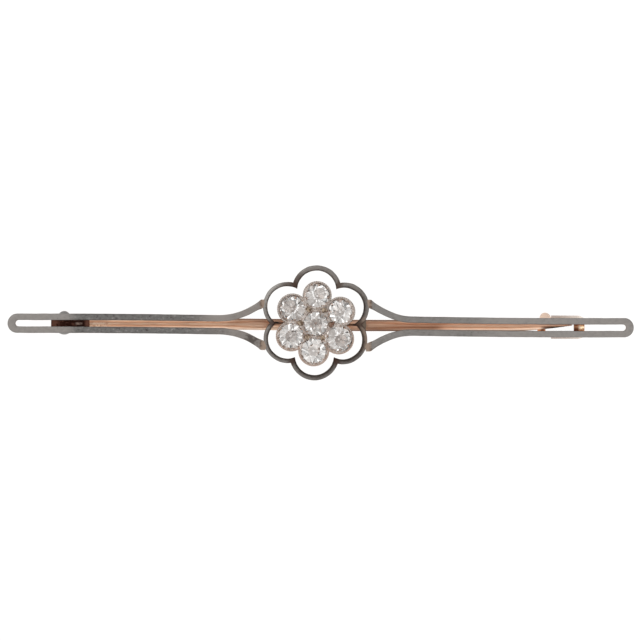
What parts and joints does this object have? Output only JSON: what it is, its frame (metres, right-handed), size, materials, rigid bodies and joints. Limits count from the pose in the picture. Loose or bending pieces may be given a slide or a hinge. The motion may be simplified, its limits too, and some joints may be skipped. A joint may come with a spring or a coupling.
{
  "type": "bar brooch",
  "caption": "Slotted bar brooch with an openwork flower round a cluster of old-cut stones, a hinged pin and a turning safety catch at its back.",
  "frame": {"origin": "on the surface that the brooch lies on, under the middle of its outline", "axes": "+X along the bars to the catch's end, +Y up in the front view, +Z out of the front, away from the surface"},
  "size_m": [0.065, 0.0118, 0.0042],
  "materials": {
    "frame_metal": "platinum front, satin, on a rose gold back",
    "pin_gold": "rose gold, drawn, worn soft",
    "rivet_metal": "white metal, hammered and worn",
    "catch_gold": "rose gold, polished",
    "stone": "clear old-cut stone, polished"
  },
  "bodies": {
    "mount": {"bar_frame": "frame_metal", "hinge_rivet": "rivet_metal", "stone_centre": "stone", "stone_1": "stone", "stone_2": "stone", "stone_3": "stone", "stone_4": "stone", "stone_5": "stone", "stone_6": "stone"},
    "pin": {"pin_stem": "pin_gold"},
    "shutter": {"catch_shutter": "catch_gold"}
  },
  "joints": [
    {"name": "pin_swing", "type": "hinge", "parent": "mount", "child": "pin", "pos_m": [-0.02665, -0.00017, 0.00122], "axis": [0, 1, 0], "range_deg": [0, 105]},
    {"name": "catch_turn", "type": "hinge", "parent": "mount", "child": "shutter", "pos_m": [0.0251, -0.00017, 0.00122], "axis": [-1, 0, 0], "range_deg": [0, 90]}
  ]
}
